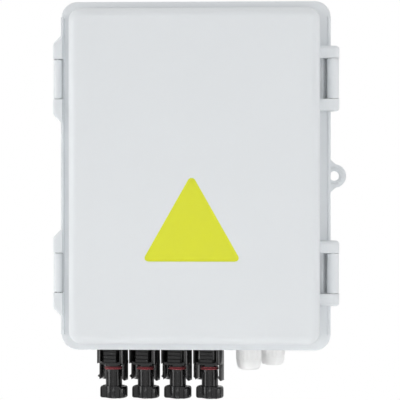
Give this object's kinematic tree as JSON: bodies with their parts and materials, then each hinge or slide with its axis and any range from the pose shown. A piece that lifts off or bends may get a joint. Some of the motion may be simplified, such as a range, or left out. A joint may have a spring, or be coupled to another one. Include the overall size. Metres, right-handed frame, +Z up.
{
  "type": "solar combiner box",
  "caption": "Grey plastic wall box with a hinged lid, snap latches, string connectors and cable glands below, and fuses, breaker and surge protector inside.",
  "frame": {"origin": "middle of the back face, midway between the two wall ear holes", "axes": "+Z up, +X towards the hinges, the lid faces -Y and the wall is at +Y"},
  "size_m": [0.1966, 0.11, 0.2559],
  "materials": {
    "case_grey": "fine matt moulded grey plastic",
    "gasket_foam": "soft foam cord",
    "plated_steel": "bright zinc plated",
    "module_grey": "light grey moulded plastic",
    "fuse_ceramic": "white ceramic tube with plated end caps",
    "handle_black": "black moulded plastic",
    "busbar_copper": "bare copper",
    "bar_brass": "bare brass",
    "connector_black": "black moulded plastic",
    "seal_red": "red silicone",
    "gland_white": "off-white moulded nylon",
    "gland_rubber": "black rubber",
    "lead_red": "red wire insulation",
    "lead_black": "black wire insulation"
  },
  "bodies": {
    "enclosure": {"base_shell": "case_grey", "hinge_pins": "plated_steel", "din_rail": "plated_steel", "din_rail_screws": "plated_steel", "fuse_base_1": "module_grey", "fuse_base_2": "module_grey", "fuse_base_3": "module_grey", "fuse_base_4": "module_grey", "breaker_case": "module_grey", "surge_protector": "module_grey", "terminal_screws": "plated_steel", "comb_busbar": "busbar_copper", "negative_bar": "bar_brass", "negative_bar_screws": "plated_steel", "negative_bar_stands": "handle_black", "socket_connector_1": "connector_black", "socket_connector_2": "connector_black", "socket_connector_3": "connector_black", "socket_connector_4": "connector_black", "socket_cap_1": "connector_black", "socket_cap_2": "connector_black", "socket_cap_3": "connector_black", "socket_cap_4": "connector_black", "pin_connector_1": "connector_black", "pin_connector_2": "connector_black", "pin_connector_3": "connector_black", "pin_connector_4": "connector_black", "pin_cap_1": "connector_black", "pin_cap_2": "connector_black", "pin_cap_3": "connector_black", "pin_cap_4": "connector_black", "socket_seal_rings": "seal_red", "connector_nuts": "connector_black", "gland_body_1": "gland_white", "gland_nut_1": "gland_white", "gland_seal_1": "gland_rubber", "gland_body_2": "gland_white", "gland_nut_2": "gland_white", "gland_seal_2": "gland_rubber", "gland_locknuts": "gland_white", "positive_lead_1": "lead_red", "positive_lead_2": "lead_red", "positive_lead_3": "lead_red", "positive_lead_4": "lead_red", "negative_leads": "lead_black", "negative_link": "lead_black"},
    "lid": {"lid_shell": "case_grey", "lid_gasket": "gasket_foam", "latch_pins": "plated_steel"},
    "upper_latch": {"latch_lever_upper": "case_grey"},
    "lower_latch": {"latch_lever_lower": "case_grey"},
    "fuse_drawer_1": {"fuse_carrier_1": "module_grey", "fuse_link_1": "fuse_ceramic"},
    "fuse_drawer_2": {"fuse_carrier_2": "module_grey", "fuse_link_2": "fuse_ceramic"},
    "fuse_drawer_3": {"fuse_carrier_3": "module_grey", "fuse_link_3": "fuse_ceramic"},
    "fuse_drawer_4": {"fuse_carrier_4": "module_grey", "fuse_link_4": "fuse_ceramic"},
    "breaker_handle": {"breaker_toggle": "handle_black"}
  },
  "joints": [
    {"name": "lid_swing", "type": "hinge", "parent": "enclosure", "child": "lid", "pos_m": [0.0864, -0.092, 0], "axis": [0, 0, 1], "range_deg": [0, 150]},
    {"name": "upper_latch_turn", "type": "hinge", "parent": "lid", "child": "upper_latch", "pos_m": [-0.0869, -0.0895, 0.061], "axis": [0, 0, 1], "range_deg": [0, 95]},
    {"name": "lower_latch_turn", "type": "hinge", "parent": "lid", "child": "lower_latch", "pos_m": [-0.0869, -0.0895, -0.061], "axis": [0, 0, 1], "range_deg": [0, 95]},
    {"name": "fuse_drawer_1_tilt", "type": "hinge", "parent": "enclosure", "child": "fuse_drawer_1", "pos_m": [-0.06125, -0.0635, -0.0005], "axis": [1, 0, 0], "range_deg": [0, 70]},
    {"name": "fuse_drawer_2_tilt", "type": "hinge", "parent": "enclosure", "child": "fuse_drawer_2", "pos_m": [-0.04375, -0.0635, -0.0005], "axis": [1, 0, 0], "range_deg": [0, 70]},
    {"name": "fuse_drawer_3_tilt", "type": "hinge", "parent": "enclosure", "child": "fuse_drawer_3", "pos_m": [-0.02625, -0.0635, -0.0005], "axis": [1, 0, 0], "range_deg": [0, 70]},
    {"name": "fuse_drawer_4_tilt", "type": "hinge", "parent": "enclosure", "child": "fuse_drawer_4", "pos_m": [-0.00875, -0.0635, -0.0005], "axis": [1, 0, 0], "range_deg": [0, 70]},
    {"name": "breaker_handle_turn", "type": "hinge", "parent": "enclosure", "child": "breaker_handle", "pos_m": [0.0175, -0.063, 0.018], "axis": [1, 0, 0], "range_deg": [0, 72]}
  ]
}
